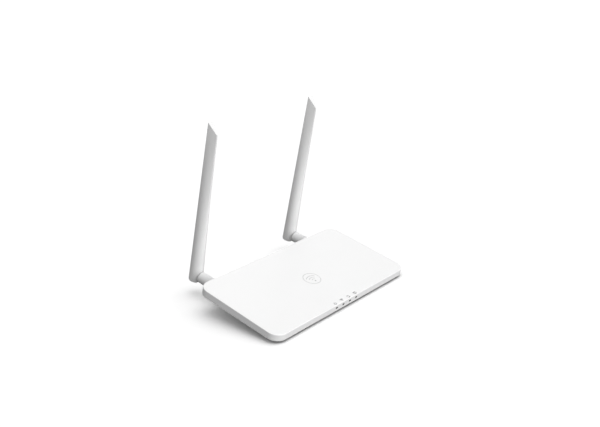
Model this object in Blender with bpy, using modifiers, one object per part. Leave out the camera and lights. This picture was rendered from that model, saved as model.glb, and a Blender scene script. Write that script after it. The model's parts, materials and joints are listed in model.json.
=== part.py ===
"""Desktop Wi-Fi range extender: a thin tilted deck on a hidden pedestal, with two hinged antennas.

Two frames are used. The world frame has its floor at z = 0. The deck frame is an empty whose
origin is the middle of the deck's front top edge: x runs along the front edge, y runs back across
the deck and z is the normal of its top face. The unit is modelled in the deck frame and tilted.
"""

import math

import bmesh
import bpy
from mathutils import Matrix, Vector

MM = 0.001
GAP = 0.3 * MM
REARWARDS = (-math.pi / 2, 0, 0)

# Deck: the thin upper slab
DECK_WIDTH = 170 * MM
DECK_DEPTH = 86 * MM
DECK_CORNER = 10 * MM
DECK_TILT = math.radians(11.6)
BAND_FRONT = 5.9 * MM
BAND_REAR = 6.7 * MM
EDGE_ROUND = 0.5 * MM
FRONT_LIFT = 1.714 * MM
WALL = 1.8 * MM
PLATE = 1.4 * MM

# Pedestal: the recessed lower housing, standing on its feet
PEDESTAL_HALF = 62.8 * MM
PEDESTAL_FRONT = 24.5 * MM
PEDESTAL_REAR = 84 * MM
SIDE_FLARE = 0.62
FRONT_FLARE = 1.0
PEDESTAL_CORNER = 8 * MM
PEDESTAL_REAR_CORNER = 3 * MM
FOOT_RISE = 1.8 * MM
FOOT_RADIUS = 5 * MM

# Antennas and their hinges, one each side of the middle
ANTENNA_X = 59.6 * MM
BARREL_Z = -12.7 * MM
PIN_DROP = 1.6 * MM
HINGE_Y = 113.2 * MM
HINGE_Z = BARREL_Z - PIN_DROP
SLEEVE_RADIUS = 6.05 * MM
SLEEVE_FOOT = -3.9 * MM
SLEEVE_TIP = 138.2 * MM
TIP_DROP = 8.3 * MM
BLADE_BACK = 3.0 * MM
BLADE_FRONT = 5.4 * MM
BLADE_BACK_HALF = 3.1 * MM
BLADE_FRONT_HALF = 0.6 * MM
KNUCKLE_RADIUS = 6.0 * MM
SHOULDER = 6.4 * MM
STUB_RADIUS = 4.9 * MM
STUB_ROOT_RADIUS = 5.3 * MM
NECK_RADIUS = 4.2 * MM
NECK_END = 79.6 * MM
TONGUE_HALF_WIDTH = 2.2 * MM
TONGUE_RADIUS = 3.8 * MM
TONGUE_ROOT = 4.6 * MM
PIN_RADIUS = 1.1 * MM
PIN_PLAY = 0.05 * MM
GROOVE_RADIUS = 3.5 * MM
COAX_RADIUS = 0.7 * MM
COAX_BORE = 1.1 * MM
AERIAL_BORE = 2.2 * MM
AERIAL_TOP = 88 * MM

# Circuit board, hung under the deck
BOARD_HALF = 46 * MM
BOARD_FRONT = 27 * MM
BOARD_REAR = 79.5 * MM
BOARD_TOP = -4.4 * MM
BOARD_BOTTOM = -5.6 * MM
PART_TOP = BOARD_BOTTOM - GAP
WIFI_CHIP = (-5 * MM, 45.5 * MM)
RF_CONNECTOR = (41 * MM, 50 * MM)

# Ports and buttons on the rear wall
PORT_FACE = PEDESTAL_REAR - 0.4 * MM
LAN_X = -8 * MM
LAN_HALF = 8 * MM
LAN_DEEP = PART_TOP - 11.6 * MM
LAN_CAVITY_TOP = PART_TOP - 2 * MM
POWER_X = -33 * MM
POWER_HALF = 4.5 * MM
POWER_DEEP = PART_TOP - 10.8 * MM
SWITCH_FACE = 77.2 * MM
BUTTON_Z = -11.5 * MM
WPS_X = 16 * MM
WPS_CAP_RADIUS = 2.9 * MM
RESET_X = 31 * MM
RESET_CAP_RADIUS = 1.4 * MM

# Indicators
LED_PITCH = 8.64 * MM
LED_WINDOW = 1.25 * MM
LED_COLUMNS = [LED_PITCH * (i - 1.5) for i in range(4)]

# Fixings: places in the deck frame as (x, y)
POST_RISE = 3 * MM
COVER_SCREWS = [(-56 * MM, 42 * MM), (56 * MM, 42 * MM), (-50 * MM, 66 * MM), (50 * MM, 66 * MM)]
BOARD_SCREWS = [(-40 * MM, 33 * MM), (40 * MM, 33 * MM)]
FEET = [(-52 * MM, 32 * MM), (52 * MM, 32 * MM), (-52 * MM, 76 * MM), (52 * MM, 76 * MM)]

# The deck frame's place: its front edge floats, and the whole object is centred on the world's Y axis
DECK_Z = FRONT_LIFT + BAND_FRONT * math.cos(DECK_TILT)
OVERALL_DEPTH = ((HINGE_Y + SLEEVE_RADIUS) * math.cos(DECK_TILT)
                 - (HINGE_Z + SLEEVE_FOOT) * math.sin(DECK_TILT))
DECK_Y = -OVERALL_DEPTH / 2


def underside(y):
    """Deck-frame height of the side band's lower edge."""
    return -(BAND_FRONT + (BAND_REAR - BAND_FRONT) * y / DECK_DEPTH)


def level(height):
    """Deck-frame height, as a function of y, of the horizontal plane at a world height."""
    return lambda y: (height - DECK_Z - y * math.sin(DECK_TILT)) / math.cos(DECK_TILT)


def flat(z):
    return lambda y: z


# ---------------------------------------------------------------- scene

for old in list(bpy.data.objects):
    bpy.data.objects.remove(old, do_unlink=True)

PARTS = bpy.data.collections.new("wifi_range_extender")
CUTTERS = bpy.data.collections.new("cutters")
bpy.context.scene.collection.children.link(PARTS)
bpy.context.scene.collection.children.link(CUTTERS)


def frame_empty(name, parent, location, rotation=(0, 0, 0)):
    empty = bpy.data.objects.new(name, None)
    empty.parent = parent
    empty.location = location
    empty.rotation_euler = rotation
    empty.empty_display_size = 0.01
    PARTS.objects.link(empty)
    return empty


DECK = frame_empty("deck_frame", None, (0, DECK_Y, DECK_Z), (DECK_TILT, 0, 0))


def material(name, colour, roughness, metallic=0.0):
    mat = bpy.data.materials.new(name)
    mat.use_nodes = True
    shader = mat.node_tree.nodes["Principled BSDF"]
    shader.inputs["Base Color"].default_value = (*colour, 1)
    shader.inputs["Roughness"].default_value = roughness
    shader.inputs["Metallic"].default_value = metallic
    return mat


WHITE = (0.86, 0.86, 0.86)
FINISHES = {
    "shell": (WHITE, 0.38, 0),
    "antenna": ((0.8, 0.8, 0.8), 0.42, 0),
    "rubber": ((0.12, 0.12, 0.125), 0.8, 0),
    "steel": ((0.62, 0.63, 0.65), 0.3, 1),
    "brass": ((0.78, 0.6, 0.3), 0.3, 1),
    "board": ((0.03, 0.22, 0.1), 0.5, 0),
    "chip": ((0.03, 0.03, 0.035), 0.5, 0),
    "black": ((0.05, 0.05, 0.05), 0.45, 0),
    "clear": ((0.75, 0.78, 0.8), 0.15, 0),
    "cable": ((0.1, 0.1, 0.1), 0.5, 0),
    "label": ((0.7, 0.7, 0.7), 0.6, 0),
}


# ---------------------------------------------------------------- mesh tools

def box(x0, x1, y0, y1, z0, z1):
    centre = Vector((x0 + x1, y0 + y1, z0 + z1)) / 2
    size = Matrix.Diagonal((x1 - x0, y1 - y0, z1 - z0, 1))
    return lambda bm: bmesh.ops.create_cube(bm, size=1, matrix=Matrix.Translation(centre) @ size)


def rod(radius, start, end, segments=24):
    start, end = Vector(start), Vector(end)
    run = end - start
    turn_to_run = Vector((0, 0, 1)).rotation_difference(run).to_matrix().to_4x4()
    place = Matrix.Translation((start + end) / 2) @ turn_to_run
    return lambda bm: bmesh.ops.create_cone(bm, cap_ends=True, segments=segments, radius1=radius,
                                            radius2=radius, depth=run.length, matrix=place)


def solids(*shapes):
    """One mesh holding boxes and rods that don't touch each other."""
    bm = bmesh.new()
    for shape in shapes:
        shape(bm)
    return as_mesh(bm)


def as_mesh(bm):
    mesh = bpy.data.meshes.new("mesh")
    bm.to_mesh(mesh)
    bm.free()
    mesh.shade_smooth()
    mesh.set_sharp_from_angle(angle=math.radians(35))
    return mesh


def loft(rings):
    """Closed solid through rings of equal point counts, anticlockwise from above, lowest ring first."""
    bm = bmesh.new()
    loops = [[bm.verts.new(point) for point in ring] for ring in rings]
    count = len(loops[0])
    for low, high in zip(loops, loops[1:]):
        for i in range(count):
            j = (i + 1) % count
            bm.faces.new((low[i], low[j], high[j], high[i]))
    bm.faces.new(reversed(loops[0]))
    bm.faces.new(loops[-1])
    return as_mesh(bm)


def rounded_rectangle(half_width, front, rear, front_radius, rear_radius, steps=6):
    points = []
    corners = [(1, rear, rear_radius, 0), (-1, rear, rear_radius, 90),
               (-1, front, front_radius, 180), (1, front, front_radius, 270)]
    for side, edge, radius, start in corners:
        x = side * (half_width - radius)
        y = edge + (radius if start >= 180 else -radius)
        for i in range(steps + 1):
            angle = math.radians(start + 90 * i / steps)
            points.append((x + radius * math.cos(angle), y + radius * math.sin(angle)))
    return points


def slab(low_outline, low_z, high_outline, high_z):
    """Solid between two outlines whose heights are functions of y."""
    return loft([[(x, y, low_z(y)) for x, y in low_outline],
                 [(x, y, high_z(y)) for x, y in high_outline]])


# ---------------------------------------------------------------- object tools

def place_object(name, mesh, collection, parent, location, rotation):
    obj = bpy.data.objects.new(name, mesh)
    obj.parent = parent
    obj.location = location
    obj.rotation_euler = rotation
    collection.objects.link(obj)
    return obj


def piece(name, mesh, finish, parent=DECK, location=(0, 0, 0), rotation=(0, 0, 0)):
    obj = place_object(name, mesh, PARTS, parent, location, rotation)
    obj.data.materials.append(material(name, *FINISHES[finish]))
    return obj


def tool(name, mesh, parent=DECK, location=(0, 0, 0), rotation=(0, 0, 0)):
    obj = place_object(name, mesh, CUTTERS, parent, location, rotation)
    obj.hide_render = True
    obj.display_type = "WIRE"
    return obj


def combine(target, operation, other):
    boolean = target.modifiers.new(operation.lower(), "BOOLEAN")
    boolean.operation = operation
    boolean.object = other
    boolean.solver = "EXACT"


def cut(target, mesh, **placing):
    combine(target, "DIFFERENCE", tool(target.name + "_cutter", mesh, **placing))


def join(target, mesh, **placing):
    combine(target, "UNION", tool(target.name + "_addition", mesh, **placing))


def soften(obj, width, segments=2):
    bevel = obj.modifiers.new("bevel", "BEVEL")
    bevel.width = width
    bevel.segments = segments
    bevel.limit_method = "ANGLE"
    bevel.angle_limit = math.radians(40)


def profile_mesh(points, closed):
    mesh = bpy.data.meshes.new("profile")
    edges = [(i, i + 1) for i in range(len(points) - 1)]
    if closed:
        edges.append((len(points) - 1, 0))
    mesh.from_pydata([(r, 0, z) for r, z in points], edges, [])
    return mesh


def turn(obj, steps):
    """Spin the object's profile about its local Z axis."""
    screw = obj.modifiers.new("turn", "SCREW")
    screw.axis = "Z"
    screw.angle = math.tau
    screw.steps = steps
    screw.render_steps = steps
    screw.use_merge_vertices = True
    screw.merge_threshold = 0.00001
    screw.use_smooth_shade = True


def turned(name, points, finish, steps=24, closed=False, **placing):
    """Turned piece. The profile, as (radius, height) pairs, runs down its outer side."""
    obj = piece(name, profile_mesh(points, closed), finish, **placing)
    turn(obj, steps)
    return obj


# ---------------------------------------------------------------- covers

def screw_seat(y):
    """Deck-frame height of the shoulder on which a cover screw's head sits."""
    return level(FOOT_RISE + WALL)(y) + 1.2 * MM


def make_top_cover():
    outline = rounded_rectangle(DECK_WIDTH / 2, 0, DECK_DEPTH, DECK_CORNER, DECK_CORNER)
    cover = piece("top_cover", slab(outline, underside, outline, flat(0)), "shell")
    soften(cover, EDGE_ROUND)
    radius = DECK_CORNER - WALL
    inner = rounded_rectangle(DECK_WIDTH / 2 - WALL, WALL, DECK_DEPTH - WALL, radius, radius)
    cut(cover, slab(inner, flat(-12 * MM), inner, flat(-WALL)))
    bosses = []
    pilots = []
    for x, y in COVER_SCREWS:
        end = level(FOOT_RISE + WALL)(y) + POST_RISE + GAP
        bosses.append(rod(3.0 * MM, (x, y, -WALL / 2), (x, y, end)))
        pilots.append(rod(1.45 * MM, (x, y, screw_seat(y) + 8 * MM), (x, y, end - 1 * MM), 12))
    for x, y in BOARD_SCREWS:
        bosses.append(rod(2.4 * MM, (x, y, -WALL / 2), (x, y, BOARD_TOP + GAP), 16))
        pilots.append(rod(1.2 * MM, (x, y, -1.0 * MM), (x, y, BOARD_TOP - 1 * MM), 12))
    join(cover, solids(*bosses))
    cut(cover, solids(*pilots))
    windows = [box(x - LED_WINDOW, x + LED_WINDOW, -MM, WALL + MM, -3.8 * MM, -2.0 * MM)
               for x in LED_COLUMNS]
    cut(cover, solids(*windows))


def pedestal_ring(inset, plane):
    """Ring where the pedestal's flat, flared walls, moved inwards by inset, meet a plane."""
    rise = 10 * MM
    half, front = PEDESTAL_HALF - inset, PEDESTAL_FRONT + inset
    corners = PEDESTAL_CORNER - inset, PEDESTAL_REAR_CORNER - inset
    rear = PEDESTAL_REAR - inset
    low = rounded_rectangle(half, front, rear, *corners)
    high = rounded_rectangle(half + SIDE_FLARE * rise, front - FRONT_FLARE * rise, rear, *corners)
    floor = level(FOOT_RISE)
    ring = []
    for (low_x, low_y), (high_x, high_y) in zip(low, high):
        foot = Vector((low_x, low_y, floor(low_y)))
        head = Vector((high_x, high_y, floor(high_y) + rise))
        below = plane(foot.y) - foot.z
        above = plane(head.y) - head.z
        ring.append(foot.lerp(head, below / (below - above)))
    return ring


def pedestal_block(inset, bottom, top):
    return loft([pedestal_ring(inset, bottom), pedestal_ring(inset, top)])


def make_bottom_cover():
    margin = WALL + GAP
    radius = DECK_CORNER - margin
    plate = rounded_rectangle(DECK_WIDTH / 2 - margin, margin, DECK_DEPTH - margin, radius, radius)
    recess = 0.2 * MM
    cover = piece("bottom_cover", slab(plate, lambda y: underside(y) + recess,
                                       plate, lambda y: underside(y) + recess + PLATE), "shell")
    join(cover, pedestal_block(0, level(FOOT_RISE), lambda y: underside(y) + PLATE / 2))
    cut(cover, pedestal_block(WALL, level(FOOT_RISE + WALL), lambda y: underside(y) + 4 * MM))
    posts = []
    holes = []
    for x, y in COVER_SCREWS:
        floor = level(FOOT_RISE + WALL)(y)
        posts.append(rod(4.2 * MM, (x, y, floor + POST_RISE), (x, y, floor - WALL / 2)))
        holes.append(rod(1.6 * MM, (x, y, floor + POST_RISE + MM), (x, y, screw_seat(y) - 0.5 * MM), 16))
        holes.append(rod(2.8 * MM, (x, y, screw_seat(y)), (x, y, floor - 4 * MM)))
    join(cover, solids(*posts))
    cut(cover, solids(*holes[0::2]))
    cut(cover, solids(*holes[1::2]))
    rear_wall_openings(cover)
    cut(cover, solids(*vent_slots()))
    for x, y in FEET:
        spot = foot_place(x, y)
        cut(cover, solids(rod(FOOT_RADIUS + GAP, spot + Vector((0, 0, FOOT_RISE - 2 * MM)),
                              spot + Vector((0, 0, FOOT_RISE + 0.8 * MM)), 32)), parent=None)


def rear_wall_openings(cover):
    front, back = 80 * MM, 88 * MM
    barrels = [(-ANTENNA_X, BARREL_Z, NECK_RADIUS + GAP, 32), (ANTENNA_X, BARREL_Z, NECK_RADIUS + GAP, 32),
               (WPS_X, BUTTON_Z, WPS_CAP_RADIUS + GAP, 24), (RESET_X, BUTTON_Z, RESET_CAP_RADIUS + GAP, 16)]
    shapes = [rod(radius, (x, front, z), (x, back, z), count) for x, z, radius, count in barrels]
    for x, half, depth in ((LAN_X, LAN_HALF, LAN_DEEP), (POWER_X, POWER_HALF, POWER_DEEP)):
        shapes.append(box(x - half - GAP, x + half + GAP, front, back, depth - GAP, PART_TOP + GAP / 2))
    cut(cover, solids(*shapes))


def vent_slots():
    slots = []
    for y in (44 * MM, 58 * MM):
        for column in range(8):
            x = (column - 3.5) * 8 * MM
            low = level(FOOT_RISE)(y)
            slots.append(box(x - 0.9 * MM, x + 0.9 * MM, y - 5 * MM, y + 5 * MM, low - 3 * MM, low + 4 * MM))
    return slots


def foot_place(x, y):
    """World point on the floor under a deck-frame spot of the pedestal's underside."""
    z = level(FOOT_RISE)(y)
    return Vector((x, DECK_Y + y * math.cos(DECK_TILT) - z * math.sin(DECK_TILT), 0))


def make_feet():
    top = FOOT_RISE + 0.5 * MM
    profile = [(0, top), (FOOT_RADIUS, top), (FOOT_RADIUS, 0.5 * MM), (FOOT_RADIUS - 0.5 * MM, 0), (0, 0)]
    for number, (x, y) in enumerate(FEET, 1):
        turned(f"foot_{number}", profile, "rubber", parent=None, location=foot_place(x, y))


def make_screw(name, x, y, seat, head_radius, shank_radius, length):
    """Pan-head screw driven up along the deck's normal, with a slot in its head."""
    head = 1.6 * MM
    point = 0.8 * MM
    place = {"location": (x, y, seat - 0.1 * MM)}
    profile = [(0, length), (shank_radius * 0.6, length), (shank_radius, length - point), (shank_radius, 0),
               (head_radius, 0), (head_radius, -head * 0.6), (head_radius * 0.75, -head), (0, -head)]
    screw = turned(name, profile, "steel", 16, **place)
    half, reach = 0.35 * MM, head_radius * 0.55
    cut(screw, solids(box(-reach, reach, -half, half, -head - MM, -head * 0.4)), **place)


def make_screws():
    for number, (x, y) in enumerate(COVER_SCREWS, 1):
        make_screw(f"cover_screw_{number}", x, y, screw_seat(y), 2.3 * MM, 1.2 * MM, 7 * MM)
    for number, (x, y) in enumerate(BOARD_SCREWS, 1):
        make_screw(f"board_screw_{number}", x, y, BOARD_BOTTOM - 0.1 * MM, 2.0 * MM, 0.95 * MM, 4 * MM)


def make_label():
    outer = level(FOOT_RISE - 0.1 * MM)
    outline = rounded_rectangle(20 * MM, 65 * MM, 77 * MM, 2 * MM, 2 * MM, 3)
    piece("rating_label", slab(outline, level(FOOT_RISE - 0.3 * MM), outline, outer), "label")


# ---------------------------------------------------------------- board and its components

def make_board():
    board = piece("main_board", solids(box(-BOARD_HALF, BOARD_HALF, BOARD_FRONT, BOARD_REAR,
                                           BOARD_BOTTOM, BOARD_TOP)), "board")
    cut(board, solids(*[rod(1.3 * MM, (x, y, BOARD_TOP + MM), (x, y, BOARD_BOTTOM - MM), 16)
                        for x, y in BOARD_SCREWS]))


def hang(name, finish, x, y, width, depth, height):
    """Block-shaped component soldered to the board's lower side."""
    return piece(name, solids(box(-width / 2, width / 2, -depth / 2, depth / 2, -height, 0)), finish,
                 location=(x, y, PART_TOP))


def make_shield():
    """Screening can: five thin walls over the radio chip."""
    x, y = WIFI_CHIP
    sheet = 0.3 * MM
    width, depth, height = 30 * MM, 23 * MM, 2.6 * MM
    can = hang("rf_shield", "steel", x, y, width, depth, height)
    half_x, half_y = width / 2 - sheet, depth / 2 - sheet
    inside = box(-half_x, half_x, -half_y, half_y, sheet - height, MM)
    cut(can, solids(inside), location=(x, y, PART_TOP))


def make_capacitor(name, x, radius, height):
    edge = 0.6 * MM
    profile = [(0, 0), (radius, 0), (radius, edge - height), (radius - edge, -height), (0, -height)]
    turned(name, profile, "steel", 20, location=(x, 60 * MM, PART_TOP))


def make_components():
    make_shield()
    hang("wifi_chip", "chip", *WIFI_CHIP, 12 * MM, 12 * MM, 1.0 * MM)
    hang("flash_chip", "chip", 24 * MM, 41 * MM, 8 * MM, 5.3 * MM, 1.8 * MM)
    hang("crystal", "steel", 24 * MM, 52 * MM, 5 * MM, 3.2 * MM, 1.2 * MM)
    hang("ethernet_transformer", "chip", LAN_X, 62.5 * MM, 12.8 * MM, 9.2 * MM, 5.6 * MM)
    hang("inductor", "chip", -33 * MM, 47 * MM, 7 * MM, 7 * MM, 3.4 * MM)
    make_capacitor("capacitor_1", -38 * MM, 3.15 * MM, 7 * MM)
    make_capacitor("capacitor_2", -28 * MM, 2.5 * MM, 6.5 * MM)
    for number, x in enumerate(LED_COLUMNS, 1):
        hang(f"led_{number}", "clear", x, BOARD_FRONT + 0.7 * MM, 1.6 * MM, 0.8 * MM, 0.8 * MM)


def make_light_pipe():
    """Clear bar behind the front band, with a finger out to each indicator window."""
    rear, front = 26.4 * MM, 22.5 * MM
    low, high = -3.6 * MM, -2.2 * MM
    pipe = piece("light_pipe", solids(box(-15 * MM, 15 * MM, front, rear, -6.6 * MM, -2.2 * MM)), "clear")
    half = LED_WINDOW - 0.2 * MM
    join(pipe, solids(*[box(x - half, x + half, 0.15 * MM, front + MM, low, high) for x in LED_COLUMNS]))


# ---------------------------------------------------------------- ports

def make_lan_jack():
    """Network socket: a cavity for the plug, a narrower one under it for the latch, and eight contacts."""
    place = {"location": (LAN_X, PORT_FACE, 0)}
    top = LAN_CAVITY_TOP
    block = solids(box(-LAN_HALF, LAN_HALF, -14 * MM, 0, LAN_DEEP, PART_TOP))
    jack = piece("lan_jack", block, "black", **place)
    cut(jack, solids(box(-5.9 * MM, 5.9 * MM, -12 * MM, MM, top - 6.8 * MM, top)), **place)
    cut(jack, solids(box(-3.1 * MM, 3.1 * MM, -9 * MM, MM, top - 8.4 * MM, top - 6 * MM)), **place)
    back = solids(box(-4.6 * MM, 4.6 * MM, -11.7 * MM, -10.8 * MM, top - 2.4 * MM, top - GAP))
    comb = piece("lan_contacts", back, "brass", **place)
    pitch, half = 1.1 * MM, 0.3 * MM
    columns = [(i - 3.5) * pitch for i in range(8)]
    join(comb, solids(*[box(x - half, x + half, -11.2 * MM, -4 * MM, top - 0.9 * MM, top - 0.4 * MM)
                        for x in columns]), **place)


def make_power_jack():
    """Round inlet for a barrel plug, with its centre pin."""
    place = {"location": (POWER_X, PORT_FACE, 0)}
    middle = PART_TOP - 6.2 * MM
    block = solids(box(-POWER_HALF, POWER_HALF, -13.5 * MM, 0, POWER_DEEP, PART_TOP))
    jack = piece("power_jack", block, "black", **place)
    cut(jack, solids(rod(3.15 * MM, (0, -9.5 * MM, middle), (0, MM, middle))), **place)
    length, radius, edge = 8.4 * MM, MM, 0.5 * MM
    profile = [(0, length), (radius - edge, length), (radius, length - edge), (radius, 0), (0, 0)]
    turned("power_jack_pin", profile, "brass", 12, location=(POWER_X, PORT_FACE - 9.2 * MM, middle),
           rotation=REARWARDS)


# ---------------------------------------------------------------- buttons

def make_button(label, x, cap_radius, tip):
    """A cap that is pressed forwards, the switch behind it and the switch's own plunger."""
    radius = 1.5 * MM
    depth = BUTTON_Z - PART_TOP
    place = {"location": (x, SWITCH_FACE, PART_TOP)}
    block = solids(box(-3 * MM, 3 * MM, -3.6 * MM, 0, -9.2 * MM, 0))
    switch = piece(f"{label}_switch", block, "chip", **place)
    cut(switch, solids(rod(radius + GAP, (0, -2.6 * MM, depth), (0, MM, depth), 16)), **place)
    plunger = [(0, 2.9 * MM), (radius, 2.9 * MM), (radius, 0), (0, 0)]
    turned(f"{label}_switch_plunger", plunger, "black", 16, location=(x, SWITCH_FACE - 1.5 * MM, BUTTON_Z),
           rotation=REARWARDS)
    start = SWITCH_FACE + 1.7 * MM
    reach = tip - start
    edge = 0.4 * MM
    flange = cap_radius + 0.9 * MM
    cap = [(0, reach), (cap_radius - edge, reach), (cap_radius, reach - edge), (cap_radius, 2.8 * MM),
           (flange, 2.8 * MM), (flange, 1.8 * MM), (cap_radius, 1.8 * MM), (cap_radius, 0), (0, 0)]
    turned(f"{label}_button", cap, "shell", 24, location=(x, start, BUTTON_Z), rotation=REARWARDS)


# ---------------------------------------------------------------- antennas

def even_points(start, end, count):
    return [start.lerp(end, i / count) for i in range(count)]


def ring_outlines():
    """The sleeve's two outlines, point for point: its round foot, and the four-sided blade of its tip.

    The blade's corners come in the order front, back, back, front, as seen from the tip.
    """
    corners = [Vector((BLADE_FRONT_HALF, -BLADE_FRONT)), Vector((BLADE_BACK_HALF, BLADE_BACK)),
               Vector((-BLADE_BACK_HALF, BLADE_BACK)), Vector((-BLADE_FRONT_HALF, -BLADE_FRONT))]
    back = math.atan2(BLADE_BACK, BLADE_BACK_HALF)
    front = math.atan2(BLADE_FRONT, BLADE_FRONT_HALF)
    marks = [-front, back, math.pi - back, math.pi + front, math.tau - front]
    circle, blade = [], []
    for i, count in enumerate((9, 6, 9, 2)):
        angles = [marks[i] + (marks[i + 1] - marks[i]) * step / count for step in range(count)]
        circle += [SLEEVE_RADIUS * Vector((math.cos(angle), math.sin(angle))) for angle in angles]
        blade += even_points(corners[i], corners[(i + 1) % 4], count)
    return circle, blade


def sleeve_ring(height, inset=0.0, slanted=False):
    """Ring of the antenna sleeve: round at the foot, a blade at the tip, and a straight blend between."""
    share = (height - SLEEVE_FOOT) / (SLEEVE_TIP - SLEEVE_FOOT)
    ring = []
    for round_point, blade_point in zip(*ring_outlines()):
        point = round_point.lerp(blade_point, share)
        point *= 1 - inset / point.length
        drop = TIP_DROP * (BLADE_BACK - point.y) / (BLADE_BACK + BLADE_FRONT) if slanted else 0
        ring.append((point.x, point.y, height - drop))
    return ring


def make_antenna_cover(side, hinge):
    edge = 0.6 * MM
    heights = [SLEEVE_FOOT + edge, 20 * MM, 45 * MM, 70 * MM, 95 * MM, 120 * MM]
    rings = [sleeve_ring(SLEEVE_FOOT, inset=edge)] + [sleeve_ring(height) for height in heights]
    cover = piece(f"{side}_antenna_cover", loft(rings + [sleeve_ring(SLEEVE_TIP, slanted=True)]), "antenna",
                  parent=hinge)
    cut(cover, knuckle_clearance(), parent=hinge)
    cut(cover, slot_for_tongue(), parent=hinge)
    bore = rod(AERIAL_BORE, (0, 0, TONGUE_RADIUS - MM), (0, 0, AERIAL_TOP + 4 * MM), 18)
    cut(cover, solids(bore), parent=hinge)
    reach = 4.4 * MM
    cut(cover, solids(rod(PIN_RADIUS + PIN_PLAY, (-reach, 0, 0), (reach, 0, 0))), parent=hinge)


def side_prism(outline, half_width):
    """Prism across the hinge, from an outline given as (y, z) pairs seen from +X, anticlockwise."""
    bm = bmesh.new()
    loops = [[bm.verts.new((x, y, z)) for y, z in outline] for x in (-half_width, half_width)]
    count = len(outline)
    for i in range(count):
        j = (i + 1) % count
        bm.faces.new((loops[0][i], loops[0][j], loops[1][j], loops[1][i]))
    bm.faces.new(reversed(loops[0]))
    bm.faces.new(loops[1])
    return as_mesh(bm)


def arc(radius, start, end, steps):
    return [(radius * math.cos(math.radians(start + (end - start) * i / steps)),
             radius * math.sin(math.radians(start + (end - start) * i / steps))) for i in range(steps + 1)]


def knuckle_clearance():
    """Rounds the fork's lower front corner about the pin, so it passes the stub's shoulder."""
    reach = SLEEVE_RADIUS + MM
    corner = [(-reach, -reach), (0, -reach)] + arc(KNUCKLE_RADIUS, 270, 180, 9) + [(-reach, 0)]
    return side_prism(corner, reach)


def slot_for_tongue():
    """Slot in the fork: open to the front and below, closed at the back."""
    radius = TONGUE_RADIUS + GAP
    reach = SLEEVE_RADIUS + MM
    slot = [(-reach, -reach), (radius, -reach)] + arc(radius, 0, 90, 8) + [(-reach, radius)]
    return side_prism(slot, TONGUE_HALF_WIDTH + GAP)


def make_stub(side, hinge, swivel):
    """Swivel barrel: a neck held in the rear wall, a tapered body and the hinge's tongue.

    The pin sits lower than the barrel's axis. The coax runs through a bore along the barrel, then
    through a channel in the tongue that is open above and behind.
    """
    root = PEDESTAL_REAR + GAP - HINGE_Y
    wall_inside = PEDESTAL_REAR - WALL - HINGE_Y
    neck_end = NECK_END - HINGE_Y
    groove_top, groove_end = wall_inside - 0.5 * MM, wall_inside - 1.5 * MM
    edge = 0.3 * MM
    profile = [(COAX_BORE, -SHOULDER), (STUB_RADIUS - edge, -SHOULDER), (STUB_RADIUS, -SHOULDER - edge),
               (STUB_ROOT_RADIUS, root), (NECK_RADIUS, root), (NECK_RADIUS, groove_top),
               (GROOVE_RADIUS, groove_top), (GROOVE_RADIUS, groove_end), (NECK_RADIUS, groove_end),
               (NECK_RADIUS, neck_end), (COAX_BORE, neck_end)]
    stub = turned(f"{side}_stub", profile, "antenna", 32, closed=True, parent=swivel)
    half, root_end = TONGUE_HALF_WIDTH, -SHOULDER - MM
    knuckle = [(PIN_DROP + y, z) for y, z in arc(TONGUE_RADIUS, 0, 180, 12)]
    tongue = [(TONGUE_ROOT, root_end)] + knuckle + [(PIN_DROP - TONGUE_RADIUS, root_end)]
    join(stub, side_prism(tongue, half), parent=swivel)
    channel, reach = COAX_RADIUS + 0.2 * MM, TONGUE_RADIUS + MM
    way_out = box(-channel, channel, -reach, channel, GAP - SHOULDER, reach)
    root_bore = box(-channel, channel, -channel, channel, -SHOULDER - 3 * MM, MM - SHOULDER)
    pin_hole = rod(PIN_RADIUS + PIN_PLAY, (-half - MM, PIN_DROP, 0), (half + MM, PIN_DROP, 0))
    for cutter in (way_out, root_bore, pin_hole):
        cut(stub, solids(cutter), parent=swivel)


def make_swivel_fittings(side, swivel):
    """On the neck, inside the rear wall: a sprung washer, and the clip that keeps the stub in."""
    place = {"parent": swivel, "location": (0, 0, PEDESTAL_REAR - WALL - HINGE_Y)}
    outer = 5.6 * MM
    washer = flat_ring(NECK_RADIUS + 0.15 * MM, outer, -0.05 * MM, -0.4 * MM)
    turned(f"{side}_friction_washer", washer, "steel", 24, closed=True, **place)
    clip = flat_ring(GROOVE_RADIUS + 0.15 * MM, outer, -0.65 * MM, -1.35 * MM)
    ring = turned(f"{side}_retaining_clip", clip, "steel", 24, closed=True, **place)
    cut(ring, solids(box(-2 * MM, 2 * MM, -9 * MM, 0, -3 * MM, MM)), **place)


def flat_ring(inner, outer, high, low):
    return [(inner, high), (outer, high), (outer, low), (inner, low)]


def make_hinge_pins(side, hinge):
    """Two short pins, one each side of the coax."""
    for label, direction in (("inner", 1), ("outer", -1)):
        if side == "right":
            direction = -direction
        start, end = 1.15 * MM * direction, 4.2 * MM * direction
        pin = solids(rod(PIN_RADIUS - PIN_PLAY, (start, 0, 0), (end, 0, 0), 16))
        piece(f"{side}_hinge_pin_{label}", pin, "steel", parent=hinge)


def make_radiator(side, hinge):
    """Half-wave aerial: a coax tail that carries a brass tube."""
    tube, tube_top, tube_foot, foot = 1.8 * MM, 60 * MM, 26 * MM, 7 * MM
    profile = [(0, AERIAL_TOP), (COAX_RADIUS, AERIAL_TOP), (COAX_RADIUS, tube_top), (tube, tube_top),
               (tube, tube_foot), (COAX_RADIUS, tube_foot), (COAX_RADIUS, foot), (0, foot)]
    turned(f"{side}_radiator", profile, "brass", 12, parent=hinge)


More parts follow.
